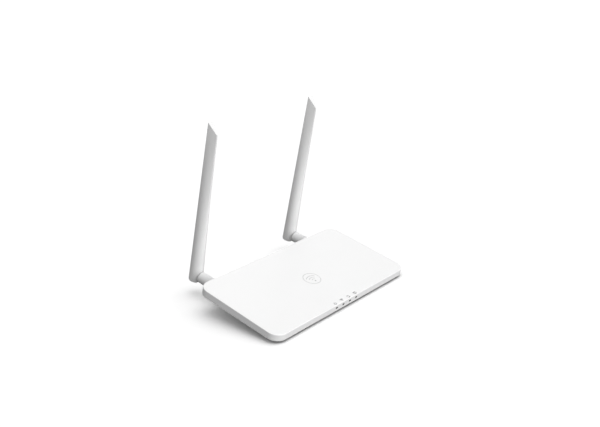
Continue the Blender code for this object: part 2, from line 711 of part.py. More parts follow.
def make_pigtail(side, sign):
    """Coax lead from the board's connector to the inner end of the stub."""
    start = (sign * RF_CONNECTOR[0], RF_CONNECTOR[1])
    radius, height = 1.3 * MM, 1.4 * MM
    profile = [(0, 0), (radius, 0), (radius, -height), (0, -height)]
    turned(f"{side}_rf_connector", profile, "brass", 12, location=(*start, PART_TOP))
    curve = bpy.data.curves.new(f"{side}_pigtail", "CURVE")
    curve.dimensions = "3D"
    curve.bevel_depth = COAX_RADIUS - 0.1 * MM
    curve.bevel_resolution = 1
    curve.use_fill_caps = True
    spline = curve.splines.new("POLY")
    begin = Vector((*start, PART_TOP - 2.4 * MM))
    finish = Vector((sign * ANTENNA_X, NECK_END - MM, BARREL_Z))
    lead_out, lead_in = Vector((sign * 18 * MM, 6 * MM, 0)), Vector((0, -22 * MM, 0))
    steps = 10
    spline.points.add(steps)
    for i, point in enumerate(spline.points):
        t = i / steps
        corners = [begin, begin + lead_out, finish + lead_in, finish]
        weights = [(1 - t) ** 3, 3 * t * (1 - t) ** 2, 3 * t * t * (1 - t), t ** 3]
        point.co = (*sum((weight * corner for weight, corner in zip(weights, corners)), Vector()), 1)
    lead = bpy.data.objects.new(f"{side}_pigtail", curve)
    lead.parent = DECK
    curve.materials.append(material(lead.name, *FINISHES["cable"]))
    PARTS.objects.link(lead)


def make_antenna(side, sign):
    hinge = frame_empty(f"{side}_hinge_frame", DECK, (sign * ANTENNA_X, HINGE_Y, HINGE_Z))
    swivel = frame_empty(f"{side}_swivel_frame", hinge, (0, 0, PIN_DROP), REARWARDS)
    make_antenna_cover(side, hinge)
    make_stub(side, hinge, swivel)
    make_swivel_fittings(side, swivel)
    make_hinge_pins(side, hinge)
    make_radiator(side, hinge)
    make_pigtail(side, sign)


# ---------------------------------------------------------------- the object

make_top_cover()
make_bottom_cover()
make_feet()
make_screws()
make_label()
make_board()
make_components()
make_light_pipe()
make_lan_jack()
make_power_jack()
make_button("wps", WPS_X, WPS_CAP_RADIUS, PEDESTAL_REAR + 0.9 * MM)
make_button("reset", RESET_X, RESET_CAP_RADIUS, PEDESTAL_REAR - 0.4 * MM)
make_antenna("left", -1)
make_antenna("right", 1)
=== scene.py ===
"""Looks of the desktop Wi-Fi range extender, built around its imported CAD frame.

Two frames are used. The world frame has its floor at z = 0. The deck frame's origin is the middle
of the deck's front top edge: x runs along the front edge, y runs back across the deck and z is the
normal of its top face. Housing pieces are modelled in the deck frame and placed by the DECK matrix,
and antenna pieces are modelled about their hinge's pin. Meshes are stored in world coordinates.
"""

import json
import math

import bmesh
import bpy
from mathutils import Matrix, Vector


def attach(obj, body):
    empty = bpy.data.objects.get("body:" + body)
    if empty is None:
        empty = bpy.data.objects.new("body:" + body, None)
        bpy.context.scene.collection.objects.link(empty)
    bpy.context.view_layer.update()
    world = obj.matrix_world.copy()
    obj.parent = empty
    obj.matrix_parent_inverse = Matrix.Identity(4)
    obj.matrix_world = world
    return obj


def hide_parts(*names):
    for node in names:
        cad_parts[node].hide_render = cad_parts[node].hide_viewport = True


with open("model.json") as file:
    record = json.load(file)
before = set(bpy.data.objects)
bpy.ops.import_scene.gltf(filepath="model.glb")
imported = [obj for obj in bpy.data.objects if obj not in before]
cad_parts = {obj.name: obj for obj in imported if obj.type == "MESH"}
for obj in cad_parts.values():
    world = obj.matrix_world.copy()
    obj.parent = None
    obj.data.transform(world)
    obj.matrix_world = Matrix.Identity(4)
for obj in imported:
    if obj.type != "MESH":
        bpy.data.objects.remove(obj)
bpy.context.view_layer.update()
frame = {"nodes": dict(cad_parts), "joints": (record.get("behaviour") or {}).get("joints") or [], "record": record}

MM = 0.001
GAP = 0.3 * MM
TOUCHING = 0.002 * MM
SHARP_ANGLE = math.radians(30)
CORNER_STEPS = 20

# The frame's own places: hinges, swivel axis and, from them, the deck frame
JOINTS = {joint["name"]: joint for joint in frame["joints"]}
HINGES = {side: Vector(JOINTS[f"{side}_fold"]["pos_m"]) for side in ("left", "right")}
DECK_TILT = math.asin(JOINTS["left_swivel_turn"]["axis"][2])
BARREL_Z = -12.7 * MM
PIN_DROP = 1.6 * MM
HINGE_Y = 113.2 * MM
HINGE_Z = BARREL_Z - PIN_DROP
TILTED = Matrix.Rotation(DECK_TILT, 4, "X")
MIDDLE = (HINGES["left"] + HINGES["right"]) / 2
DECK = Matrix.Translation(MIDDLE) @ TILTED @ Matrix.Translation((0, -HINGE_Y, -HINGE_Z))
REARWARDS = Matrix.Rotation(-math.pi / 2, 4, "X")

# Deck
DECK_HALF = 85 * MM
DECK_DEPTH = 86 * MM
DECK_CORNER = 10 * MM
BAND_FRONT = 5.9 * MM
BAND_REAR = 6.7 * MM
WALL = 1.8 * MM
PLATE = 1.4 * MM
EDGE = 0.56 * MM
LOWER_EDGE = 0.3 * MM
PLATE_RECESS = 0.2 * MM

# Pedestal
PEDESTAL_HALF = 62.8 * MM
PEDESTAL_FRONT = 24.5 * MM
PEDESTAL_REAR = 84 * MM
SIDE_FLARE = 0.62
FRONT_FLARE = 1.0
PEDESTAL_CORNER = 8 * MM
PEDESTAL_REAR_CORNER = 3 * MM
PEDESTAL_FILLET = 1.0 * MM
FOOT_RISE = 1.8 * MM
FOOT_RADIUS = 5 * MM
VENT_ROWS = (44 * MM, 58 * MM)
VENT_COLUMNS = 8
VENT_PITCH = 8 * MM
VENT_HALF_WIDTH = 0.9 * MM
VENT_HALF_LENGTH = 5 * MM

# Antennas
SLEEVE_RADIUS = 6.05 * MM
SLEEVE_FOOT = -3.9 * MM
SLEEVE_TIP = 138.2 * MM
SLEEVE_EDGE = 0.8 * MM
TIP_DROP = 8.3 * MM
TIP_EDGE = 0.15 * MM
BLADE_BACK = 3.0 * MM
BLADE_FRONT = 5.4 * MM
BLADE_BACK_HALF = 3.1 * MM
BLADE_FRONT_HALF = 0.6 * MM
BLADE_SOFTENINGS = 2
KNUCKLE_RADIUS = 6.0 * MM
SHOULDER = 6.4 * MM
STUB_RADIUS = 4.9 * MM
STUB_ROOT_RADIUS = 5.3 * MM
NECK_RADIUS = 4.2 * MM
NECK_END = 79.6 * MM
TONGUE_HALF_WIDTH = 2.2 * MM
TONGUE_RADIUS = 3.8 * MM
TONGUE_ROOT = 4.6 * MM
PIN_RADIUS = 1.15 * MM
COAX_BORE = 1.1 * MM
AERIAL_BORE = 2.2 * MM
AERIAL_TOP = 92 * MM

# Rear wall
PORT_TOP = -5.9 * MM
LAN_X = -8 * MM
LAN_HALF = 8 * MM
LAN_DEEP = PORT_TOP - 11.6 * MM
POWER_X = -33 * MM
POWER_HALF = 4.5 * MM
POWER_DEEP = PORT_TOP - 10.8 * MM
SWITCH_FACE = 77.2 * MM
BUTTON_Z = -11.5 * MM
WPS_X = 16 * MM
WPS_RADIUS = 2.9 * MM
RESET_X = 31 * MM
RESET_RADIUS = 1.4 * MM

# Indicators and what is printed on the deck
LED_PITCH = 8.64 * MM
LED_COLUMNS = [LED_PITCH * (i - 1.5) for i in range(4)]
LED_WINDOW = 1.25 * MM
WINDOW_FOOT = -3.8 * MM
WINDOW_HEAD = -2.0 * MM
PIPE_GAP = 0.2 * MM
PIPE_FRONT = 22.5 * MM
PIPE_REAR = 26.4 * MM
PIPE_HALF = 15 * MM
PIPE_FOOT = -6.6 * MM
ICON_Y = 2.3 * MM
ICON_LINE = 0.42 * MM
INK = 0.015 * MM
EMBLEM_MIDDLE = (0, 38 * MM)
EMBLEM_FOOT = (0, 34 * MM)
EMBLEM_RADIUS = 7.6 * MM
EMBLEM_WAVES = (2.8 * MM, 5.2 * MM, 7.6 * MM)

# Fixings: the case screws rise through posts in the pedestal into bosses under the deck
POST_RISE = 3 * MM
POST_RADIUS = 4.2 * MM
SHANK_HOLE = 1.6 * MM
HEAD_HOLE = 2.8 * MM
SEAT_RISE = 1.2 * MM
BOSS_RADIUS = 3.0 * MM
PILOT_RADIUS = 1.45 * MM
BOARD_BOSS_RADIUS = 2.4 * MM
BOARD_PILOT_RADIUS = 1.2 * MM
SCREW_HEAD = 1.6 * MM
SCREW_HEAD_RADIUS = 2.3 * MM
SCREW_RADIUS = 1.2 * MM
SCREW_LENGTH = 7 * MM
COVER_SCREWS = [(-56 * MM, 42 * MM), (56 * MM, 42 * MM), (-50 * MM, 66 * MM), (50 * MM, 66 * MM)]
BOARD_SCREWS = [(-40 * MM, 33 * MM), (40 * MM, 33 * MM)]
BOARD_TOP = -4.4 * MM
FEET = [(-52 * MM, 32 * MM), (52 * MM, 32 * MM), (-52 * MM, 76 * MM), (52 * MM, 76 * MM)]

# Tones of the plastics and inks, and the span that a noise texture's factor usually covers
SHELL_WHITE = 0.80
ANTENNA_WHITE = 0.74
INK_GREY = 0.11
PALE_INK_GREY = 0.42
NOISE_SPAN = (0.3, 0.7)

# Stage: what the floor shows and gives back, the sky, and each distant light's name, direction
# towards it, strength, angular size in degrees and whether it leaves sheltered objects alone
FLOOR_SIZE = 24
FLOOR_SHOWN = 1.44
FLOOR_GIVEN = 0.12
SKY = 0.53
LIGHTS = [
    ("overhead_light", (0.05, -0.1, 1), 0.21 * math.pi, 60, False),
    ("front_fill", (0, -1, 0.25), 0.865 * math.pi, 40, True),
    ("rear_fill", (0.7, 0.7, 0.2), 0.25 * math.pi, 30, True),
    ("left_fill", (-1, -0.1, 0.7), 0.12 * math.pi, 30, True),
]

# Camera: focal length and sensor width in mm, place in metres, pitch and heading in degrees
CAMERA_LENS = 50.44
CAMERA_SENSOR = 36
CAMERA_PLACE = (-0.4939, -0.42811, 0.3091)
CAMERA_PITCH = 69.7
CAMERA_HEADING = -49.75


# ---------------------------------------------------------------- heights in the deck frame

def underside(y):
    """Deck-frame height of the side band's lower edge."""
    return -(BAND_FRONT + (BAND_REAR - BAND_FRONT) * y / DECK_DEPTH)


def flat(z):
    """The same deck-frame height at every y."""
    return lambda y: z


def lifted(height, rise):
    """The height function, moved up by rise."""
    return lambda y: height(y) + rise


def level(height):
    """Deck-frame height, as a function of y, of the horizontal plane at a world height."""
    origin = DECK.translation
    return lambda y: (height - origin.z - y * math.sin(DECK_TILT)) / math.cos(DECK_TILT)


def floor_spot(x, y):
    """World point on the floor under a deck-frame spot of the pedestal's underside."""
    spot = DECK @ Vector((x, y, level(FOOT_RISE)(y)))
    return Vector((spot.x, spot.y, 0))


# ---------------------------------------------------------------- mesh tools

def rounded_rectangle(half, front, rear, front_radius, rear_radius, steps=CORNER_STEPS):
    """Outline of (x, y) pairs, anticlockwise from the rear right corner."""
    points = []
    corners = [(1, rear, rear_radius, 0), (-1, rear, rear_radius, 90),
               (-1, front, front_radius, 180), (1, front, front_radius, 270)]
    for side, edge, radius, start in corners:
        x = side * (half - radius)
        y = edge + (radius if start >= 180 else -radius)
        for i in range(steps + 1):
            angle = math.radians(start + 90 * i / steps)
            points.append((x + radius * math.cos(angle), y + radius * math.sin(angle)))
    return points


def raised(outline, height):
    """Ring of points over a flat outline, at a height that is a function of y."""
    return [Vector((x, y, height(y))) for x, y in outline]


def quarter(radius, steps=5):
    """(across, up) offsets along a quarter round, from its foot to its head."""
    angles = [math.pi / 2 * i / steps for i in range(steps + 1)]
    return [(radius * (1 - math.cos(angle)), radius * math.sin(angle)) for angle in angles]


def loft(rings, closed=False):
    """Mesh through rings of equal point counts: capped at both ends, or closed on itself."""
    bm = bmesh.new()
    loops = [[bm.verts.new(point) for point in ring] for ring in rings]
    pairs = list(zip(loops, loops[1:]))
    if closed:
        pairs.append((loops[-1], loops[0]))
    count = len(loops[0])
    for low, high in pairs:
        for i in range(count):
            j = (i + 1) % count
            bm.faces.new((low[i], low[j], high[j], high[i]))
    if not closed:
        bm.faces.new(reversed(loops[0]))
        bm.faces.new(loops[-1])
    bmesh.ops.recalc_face_normals(bm, faces=bm.faces)
    return bm


def lathe(profile, steps=64, closed=False):
    """Mesh turned about Z from (radius, height) pairs, capped at its ends or closed on itself."""
    turns = [math.tau * i / steps for i in range(steps)]
    rings = [[Vector((r * math.cos(a), r * math.sin(a), z)) for a in turns] for r, z in profile]
    return loft(rings, closed)


def block(x0, x1, y0, y1, z0, z1, corner=0.0, axis="Z", steps=6):
    """Box whose four edges along one axis are rounded."""
    spans = {"X": (x0, x1), "Y": (y0, y1), "Z": (z0, z1)}
    first, second = [name for name in "XYZ" if name != axis]
    (a0, a1), (b0, b1) = spans[first], spans[second]
    radius = max(corner, 1e-7)
    outline = rounded_rectangle((a1 - a0) / 2, b0, b1, radius, radius, steps if corner else 1)
    middle = (a0 + a1) / 2
    place = {"X": lambda a, b, t: (t, a, b),
             "Y": lambda a, b, t: (a, t, b),
             "Z": lambda a, b, t: (a, b, t)}[axis]
    return loft([[Vector(place(a + middle, b, t)) for a, b in outline] for t in spans[axis]])


def rod(radius, start, end, steps=48):
    """Round bar from one point to another."""
    start, end = Vector(start), Vector(end)
    run = end - start
    bm = lathe([(radius, 0), (radius, run.length)], steps)
    turn = Vector((0, 0, 1)).rotation_difference(run).to_matrix().to_4x4()
    return moved(bm, Matrix.Translation(start) @ turn)


def together(*parts):
    """One mesh from several that don't touch each other."""
    whole = bmesh.new()
    for part in parts:
        mesh = bpy.data.meshes.new("part")
        part.to_mesh(mesh)
        part.free()
        whole.from_mesh(mesh)
        bpy.data.meshes.remove(mesh)
    return whole


def moved(bm, matrix):
    """The same mesh, moved."""
    bmesh.ops.transform(bm, matrix=matrix, verts=bm.verts)
    return bm


# ---------------------------------------------------------------- object tools

def new_object(name, bm, matrix):
    """Object that takes over a mesh."""
    mesh = bpy.data.meshes.new(name)
    bm.to_mesh(mesh)
    bm.free()
    obj = bpy.data.objects.new(name, mesh)
    bpy.context.scene.collection.objects.link(obj)
    obj.matrix_world = matrix
    return obj


def shape(name, bm, steps=(), matrix=DECK):
    """Object from a mesh, after a list of (operation, mesh) Booleans, with world coordinates."""
    obj = new_object(name, bm, matrix)
    tools = []
    for operation, other in steps:
        tools.append(new_object(f"{name}_tool", other, matrix))
        boolean = obj.modifiers.new("boolean", "BOOLEAN")
        boolean.operation = operation
        boolean.object = tools[-1]
        boolean.solver = "EXACT"
    bpy.context.view_layer.update()
    depsgraph = bpy.context.evaluated_depsgraph_get()
    result = bpy.data.meshes.new_from_object(obj.evaluated_get(depsgraph))
    obj.modifiers.clear()
    obj.data = result
    result.name = name
    for tool in tools:
        bpy.data.objects.remove(tool, do_unlink=True)
    clean = bmesh.new()
    clean.from_mesh(result)
    bmesh.ops.remove_doubles(clean, verts=clean.verts, dist=TOUCHING)
    bmesh.ops.dissolve_degenerate(clean, edges=clean.edges, dist=TOUCHING)
    clean.transform(matrix)
    obj.matrix_world = Matrix()
    clean.to_mesh(result)
    clean.free()
    result.shade_smooth()
    result.set_sharp_from_angle(angle=SHARP_ANGLE)
    weighted = obj.modifiers.new("weighted_normals", "WEIGHTED_NORMAL")
    weighted.keep_sharp = True
    return obj


def paint(obj, mat):
    """Leaves a piece with this material only."""
    obj.data.materials.clear()
    obj.data.materials.append(mat)


def dress(obj, finish, body, node):
    """Gives a piece its slot's material and the body it rides on, and hides the CAD node it stands for."""
    paint(obj, FINISHES[finish])
    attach(obj, body)
    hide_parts(node)
    return obj


def printed(name, bm, ink):
    """Thin layer of ink on the housing."""
    obj = shape(name, bm)
    paint(obj, ink)
    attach(obj, "housing")


# ---------------------------------------------------------------- materials

def new_material(name, colour, roughness, metallic=0.0, **sockets):
    """Principled material. A socket's name is given with _ for each space."""
    mat = bpy.data.materials.new(name)
    mat.use_nodes = True
    shader = mat.node_tree.nodes["Principled BSDF"]
    shader.inputs["Base Color"].default_value = (*colour, 1)
    shader.inputs["Roughness"].default_value = roughness
    shader.inputs["Metallic"].default_value = metallic
    for socket, value in sockets.items():
        shader.inputs[socket.replace("_", " ")].default_value = value
    return mat


def noise(mat, scale, detail=3.0, stretch=(1, 1, 1)):
    """Noise texture fixed to the object, with its scale per metre."""
    nodes, links = mat.node_tree.nodes, mat.node_tree.links
    place = nodes.new("ShaderNodeTexCoord")
    mapping = nodes.new("ShaderNodeMapping")
    mapping.inputs["Scale"].default_value = stretch
    texture = nodes.new("ShaderNodeTexNoise")
    texture.inputs["Scale"].default_value = scale
    texture.inputs["Detail"].default_value = detail
    links.new(place.outputs["Object"], mapping.inputs["Vector"])
    links.new(mapping.outputs["Vector"], texture.inputs["Vector"])
    return texture.outputs["Fac"]


def bumpy(mat, height, strength, distance):
    """Bumps from a height factor, with their full depth in metres."""
    nodes, links = mat.node_tree.nodes, mat.node_tree.links
    bump = nodes.new("ShaderNodeBump")
    bump.inputs["Strength"].default_value = strength
    bump.inputs["Distance"].default_value = distance
    links.new(height, bump.inputs["Height"])
    links.new(bump.outputs["Normal"], nodes["Principled BSDF"].inputs["Normal"])


def vary_roughness(mat, factor, low, high):
    """Roughness that goes from low to high over a noise's usual span."""
    nodes, links = mat.node_tree.nodes, mat.node_tree.links
    span = nodes.new("ShaderNodeMapRange")
    span.inputs["From Min"].default_value, span.inputs["From Max"].default_value = NOISE_SPAN
    span.inputs["To Min"].default_value = low
    span.inputs["To Max"].default_value = high
    links.new(factor, span.inputs["Value"])
    links.new(span.outputs["Result"], nodes["Principled BSDF"].inputs["Roughness"])


def vary_colour(mat, factor, first, second):
    """Colour that drifts from the first to the second over the middle of a noise."""
    nodes, links = mat.node_tree.nodes, mat.node_tree.links
    ramp = nodes.new("ShaderNodeValToRGB")
    ramp.color_ramp.elements[0].position = 0.35
    ramp.color_ramp.elements[0].color = (*first, 1)
    ramp.color_ramp.elements[1].position = 0.65
    ramp.color_ramp.elements[1].color = (*second, 1)
    links.new(factor, ramp.inputs["Fac"])
    links.new(ramp.outputs["Color"], nodes["Principled BSDF"].inputs["Base Color"])


def grey(value):
    return (value, value, value)


def moulded(name, colour, roughness, grain_scale, grain_depth):
    """Moulded plastic: spark-eroded grain, soft patches of gloss and a faint drift of tone."""
    mat = new_material(name, grey(colour), roughness)
    vary_colour(mat, noise(mat, 35, 2), grey(colour * 0.995), grey(colour * 1.003))
    vary_roughness(mat, noise(mat, 90, 2), roughness - 0.04, roughness + 0.04)
    bumpy(mat, noise(mat, grain_scale, 4), 0.5, grain_depth)
    return mat


def make_shell_finish():
    return moulded("white_shell", SHELL_WHITE, 0.42, 2600, 0.006 * MM)


def make_antenna_finish():
    return moulded("white_antenna", ANTENNA_WHITE, 0.38, 3200, 0.004 * MM)


def make_rubber():
    mat = new_material("rubber_feet", grey(0.05), 0.8)
    vary_colour(mat, noise(mat, 400), grey(0.04), grey(0.075))
    vary_roughness(mat, noise(mat, 900), 0.7, 0.9)
    bumpy(mat, noise(mat, 3500, 4), 0.7, 0.02 * MM)
    return mat


def make_steel():
    mat = new_material("bright_steel", (0.62, 0.63, 0.65), 0.3, 1.0)
    vary_roughness(mat, noise(mat, 900, 2, (1, 12, 1)), 0.22, 0.4)
    bumpy(mat, noise(mat, 1200, 3, (1, 14, 1)), 0.3, 0.004 * MM)
    return mat


def make_brass():
    mat = new_material("gilt_brass", (0.83, 0.62, 0.27), 0.25, 1.0)
    vary_colour(mat, noise(mat, 500), (0.8, 0.58, 0.24), (0.87, 0.67, 0.32))
    vary_roughness(mat, noise(mat, 1500), 0.18, 0.32)
    return mat


def make_board_finish():
    mat = new_material("solder_mask", (0.02, 0.16, 0.07), 0.35, Coat_Weight=0.3)
    vary_colour(mat, noise(mat, 180, 4), (0.015, 0.13, 0.055), (0.03, 0.19, 0.085))
    bumpy(mat, noise(mat, 2200, 2, (1, 1, 8)), 0.3, 0.01 * MM)
    return mat


def make_chip_finish():
    mat = new_material("chip_package", grey(0.02), 0.55)
    vary_roughness(mat, noise(mat, 1200), 0.45, 0.65)
    bumpy(mat, noise(mat, 5000, 3), 0.4, 0.006 * MM)
    return mat


def make_black_finish():
    mat = new_material("black_connector", grey(0.018), 0.4)
    vary_colour(mat, noise(mat, 300), grey(0.014), grey(0.024))
    vary_roughness(mat, noise(mat, 700), 0.33, 0.48)
    bumpy(mat, noise(mat, 3600, 3), 0.4, 0.005 * MM)
    return mat


def make_smoked_finish():
    mat = new_material("smoked_light_pipe", grey(0.035), 0.16, Coat_Weight=0.4)
    vary_roughness(mat, noise(mat, 800), 0.12, 0.22)
    return mat


def make_clear_finish():
    mat = new_material("clear_resin", (0.8, 0.82, 0.84), 0.12, Transmission_Weight=0.7)
    vary_roughness(mat, noise(mat, 1500), 0.08, 0.2)
    return mat


def make_cable_finish():
    mat = new_material("coax_jacket", grey(0.03), 0.45)
    vary_roughness(mat, noise(mat, 900), 0.38, 0.55)
    bumpy(mat, noise(mat, 2500, 3), 0.4, 0.01 * MM)
    return mat


def make_label_finish():
    mat = new_material("label_film", grey(0.62), 0.3)
    vary_colour(mat, noise(mat, 260, 3), grey(0.6), grey(0.64))
    vary_roughness(mat, noise(mat, 500), 0.24, 0.38)
    bumpy(mat, noise(mat, 600, 2), 0.2, 0.01 * MM)
    return mat


def make_ink(name, tone, roughness, drift):
    mat = new_material(name, grey(tone), roughness)
    vary_colour(mat, noise(mat, 2500), grey(tone * (1 - drift)), grey(tone * (1 + drift)))
    return mat


FINISHES = {
    "shell": make_shell_finish(),
    "antenna": make_antenna_finish(),
    "rubber": make_rubber(),
    "steel": make_steel(),
    "brass": make_brass(),
    "board": make_board_finish(),
    "chip": make_chip_finish(),
    "black": make_black_finish(),
    "smoked": make_smoked_finish(),
    "clear": make_clear_finish(),
    "cable": make_cable_finish(),
    "label": make_label_finish(),
}
INK_DARK = make_ink("grey_ink", INK_GREY, 0.5, 0.07)
INK_PALE = make_ink("pale_ink", PALE_INK_GREY, 0.45, 0.04)


# ---------------------------------------------------------------- deck

def deck_outline(inset):
    """The deck's outline, moved inwards."""
    radius = DECK_CORNER - inset
    return rounded_rectangle(DECK_HALF - inset, inset, DECK_DEPTH - inset, radius, radius)


def screw_seat(y):
    """Deck-frame height of the shoulder on which a cover screw's head sits."""
    return level(FOOT_RISE + WALL)(y) + SEAT_RISE


def make_top_cover():
    """Thin upper shell: ceiling, walls that deepen towards the back, and finely rounded edges."""
    rings = [raised(deck_outline(WALL + 0.5 * MM), flat(-WALL)),
             raised(deck_outline(WALL), flat(-WALL - 0.5 * MM)),
             raised(deck_outline(WALL), lifted(underside, 0.15 * MM)),
             raised(deck_outline(WALL - 0.15 * MM), underside),
             raised(deck_outline(LOWER_EDGE + 0.2 * MM), underside)]
    for across, up in quarter(LOWER_EDGE):
        rings.append(raised(deck_outline(LOWER_EDGE - up), lifted(underside, across)))
    rings.append(raised(deck_outline(0), lifted(underside, LOWER_EDGE + 0.4 * MM)))
    rings.append(raised(deck_outline(0), flat(-EDGE - 0.3 * MM)))
    for across, up in quarter(EDGE, 6):
        rings.append(raised(deck_outline(across), flat(up - EDGE)))
    rings.append(raised(deck_outline(EDGE + 0.4 * MM), flat(0)))
    bosses, pilots = [], []
    for x, y in COVER_SCREWS:
        end = level(FOOT_RISE + WALL)(y) + POST_RISE + GAP
        bosses.append(rod(BOSS_RADIUS, (x, y, -WALL / 2), (x, y, end)))
        pilots.append(rod(PILOT_RADIUS, (x, y, screw_seat(y) + 8 * MM), (x, y, end - MM), 24))
    for x, y in BOARD_SCREWS:
        bosses.append(rod(BOARD_BOSS_RADIUS, (x, y, -WALL / 2), (x, y, BOARD_TOP + GAP)))
        pilots.append(rod(BOARD_PILOT_RADIUS, (x, y, -MM), (x, y, BOARD_TOP - MM), 24))
    windows = [block(x - LED_WINDOW, x + LED_WINDOW, -MM, WALL + MM, WINDOW_FOOT, WINDOW_HEAD,
                     0.4 * MM, "Y") for x in LED_COLUMNS]
    steps = [("UNION", together(*bosses)), ("DIFFERENCE", together(*pilots)),
             ("DIFFERENCE", together(*windows))]
    dress(shape("top_shell", loft(rings), steps), "shell", "housing", "top_cover")


# ---------------------------------------------------------------- pedestal

def pedestal_ring(inset, plane):
    """Ring where the pedestal's flat, flared walls, moved inwards by inset, meet a plane."""
    rise = 10 * MM
    half, front, rear = PEDESTAL_HALF - inset, PEDESTAL_FRONT + inset, PEDESTAL_REAR - inset
    corners = max(PEDESTAL_CORNER - inset, MM), max(PEDESTAL_REAR_CORNER - inset, MM)
    low = rounded_rectangle(half, front, rear, *corners)
    high = rounded_rectangle(half + SIDE_FLARE * rise, front - FRONT_FLARE * rise, rear, *corners)
    floor = level(FOOT_RISE)
    ring = []
    for (low_x, low_y), (high_x, high_y) in zip(low, high):
        foot = Vector((low_x, low_y, floor(low_y)))
        head = Vector((high_x, high_y, floor(high_y) + rise))
        below = plane(foot.y) - foot.z
        above = plane(head.y) - head.z
        ring.append(foot.lerp(head, below / (below - above)))
    return ring


def plate_outline(inset):
    """The bottom plate's outline inside the deck's walls, moved inwards."""
    margin = WALL + GAP + inset
    radius = DECK_CORNER - margin
    return rounded_rectangle(DECK_HALF - margin, margin, PEDESTAL_REAR + 0.05 * MM, radius, radius)


def make_bottom_cover():
    """Plate and pedestal in one moulding, hollow from above, with posts, ports and vents."""
    lower = lifted(underside, PLATE_RECESS)
    upper = lifted(underside, PLATE_RECESS + PLATE)
    rings = [pedestal_ring(PEDESTAL_FILLET + 0.4 * MM, level(FOOT_RISE))]
    for across, up in quarter(PEDESTAL_FILLET):
        rings.append(pedestal_ring(PEDESTAL_FILLET - up, level(FOOT_RISE + across)))
    rings += [pedestal_ring(0, lifted(lower, -0.3 * MM)), pedestal_ring(-0.02 * MM, lower)]
    rings += [raised(plate_outline(0.2 * MM), lower),
              raised(plate_outline(0), lifted(lower, 0.2 * MM)),
              raised(plate_outline(0), upper), pedestal_ring(WALL, upper),
              pedestal_ring(WALL, level(FOOT_RISE + WALL + 0.5 * MM)),
              pedestal_ring(WALL + 0.5 * MM, level(FOOT_RISE + WALL))]
    posts, narrow, wide = [], [], []
    for x, y in COVER_SCREWS:
        floor = level(FOOT_RISE + WALL)(y)
        top = floor + POST_RISE
        posts.append(rod(POST_RADIUS, (x, y, top), (x, y, floor - WALL / 2)))
        narrow.append(rod(SHANK_HOLE, (x, y, top + MM), (x, y, screw_seat(y) - 0.5 * MM)))
        wide.append(rod(HEAD_HOLE, (x, y, screw_seat(y)), (x, y, floor - 4 * MM)))
    recesses = []
    for x, y in FEET:
        low, high = (0, 0, FOOT_RISE - 2 * MM), (0, 0, FOOT_RISE + 0.8 * MM)
        recess = rod(FOOT_RADIUS + GAP, low, high, 64)
        recesses.append(moved(recess, DECK.inverted() @ Matrix.Translation(floor_spot(x, y))))
    steps = [("UNION", together(*posts))]
    steps += [("DIFFERENCE", together(*tools))
              for tools in (narrow, wide, rear_openings(), vent_slots(), recesses)]
    return dress(shape("bottom_shell", loft(rings), steps), "shell", "housing", "bottom_cover")


def rear_openings():
    """Tools that cut the rear wall for the barrels, buttons and sockets."""
    front, back = PEDESTAL_REAR - 4 * MM, PEDESTAL_REAR + 4 * MM
    barrel_x = HINGES["right"].x
    holes = [(-barrel_x, BARREL_Z, NECK_RADIUS), (barrel_x, BARREL_Z, NECK_RADIUS),
             (WPS_X, BUTTON_Z, WPS_RADIUS), (RESET_X, BUTTON_Z, RESET_RADIUS)]
    shapes = [rod(radius + GAP, (x, front, z), (x, back, z)) for x, z, radius in holes]
    for x, half, deep in ((LAN_X, LAN_HALF, LAN_DEEP), (POWER_X, POWER_HALF, POWER_DEEP)):
        shapes.append(block(x - half - GAP, x + half + GAP, front, back,
                            deep - GAP, PORT_TOP + GAP / 2, 0.6 * MM, "Y"))
    return shapes


def vent_slots():
    """Tools that cut rows of round-ended slots through the pedestal's floor."""
    slots = []
    for y in VENT_ROWS:
        low = level(FOOT_RISE)(y)
        for column in range(VENT_COLUMNS):
            x = (column - (VENT_COLUMNS - 1) / 2) * VENT_PITCH
            slots.append(block(x - VENT_HALF_WIDTH, x + VENT_HALF_WIDTH,
                               y - VENT_HALF_LENGTH, y + VENT_HALF_LENGTH,
                               low - 3 * MM, low + 4 * MM, VENT_HALF_WIDTH - 0.01 * MM))
    return slots


def make_feet():
    """Round rubber feet with softened lower edges."""
    top, low, edge = FOOT_RISE + 0.5 * MM, 0.6 * MM, 0.5 * MM
    profile = [(FOOT_RADIUS, top), (FOOT_RADIUS, low)]
    profile += [(FOOT_RADIUS - across, edge - up) for across, up in quarter(edge)]
    profile += [(FOOT_RADIUS - 1.2 * MM, 0)]
    for number, (x, y) in enumerate(FEET, 1):
        place = Matrix.Translation(floor_spot(x, y))
        foot = shape(f"rubber_foot_{number}", lathe(profile), matrix=place)
        dress(foot, "rubber", "housing", f"foot_{number}")


def make_label():
    """Blank film label under the pedestal, with a thin printed border."""
    face = FOOT_RISE - 0.3 * MM
    outline = rounded_rectangle(20 * MM, 65 * MM, 77 * MM, 2 * MM, 2 * MM, 8)
    film = loft([raised(outline, level(face)), raised(outline, level(FOOT_RISE - 0.1 * MM))])
    dress(shape("blank_label", film), "label", "housing", "rating_label")
    outer = rounded_rectangle(18.8 * MM, 66.2 * MM, 75.8 * MM, 1.2 * MM, 1.2 * MM, 8)
    inner = rounded_rectangle(18.5 * MM, 66.5 * MM, 75.5 * MM, 0.9 * MM, 0.9 * MM, 8)
    low, high = level(face - INK), level(face)
    rings = [raised(outer, low), raised(outer, high), raised(inner, high), raised(inner, low)]
    printed("label_border", loft(rings, closed=True), INK_DARK)


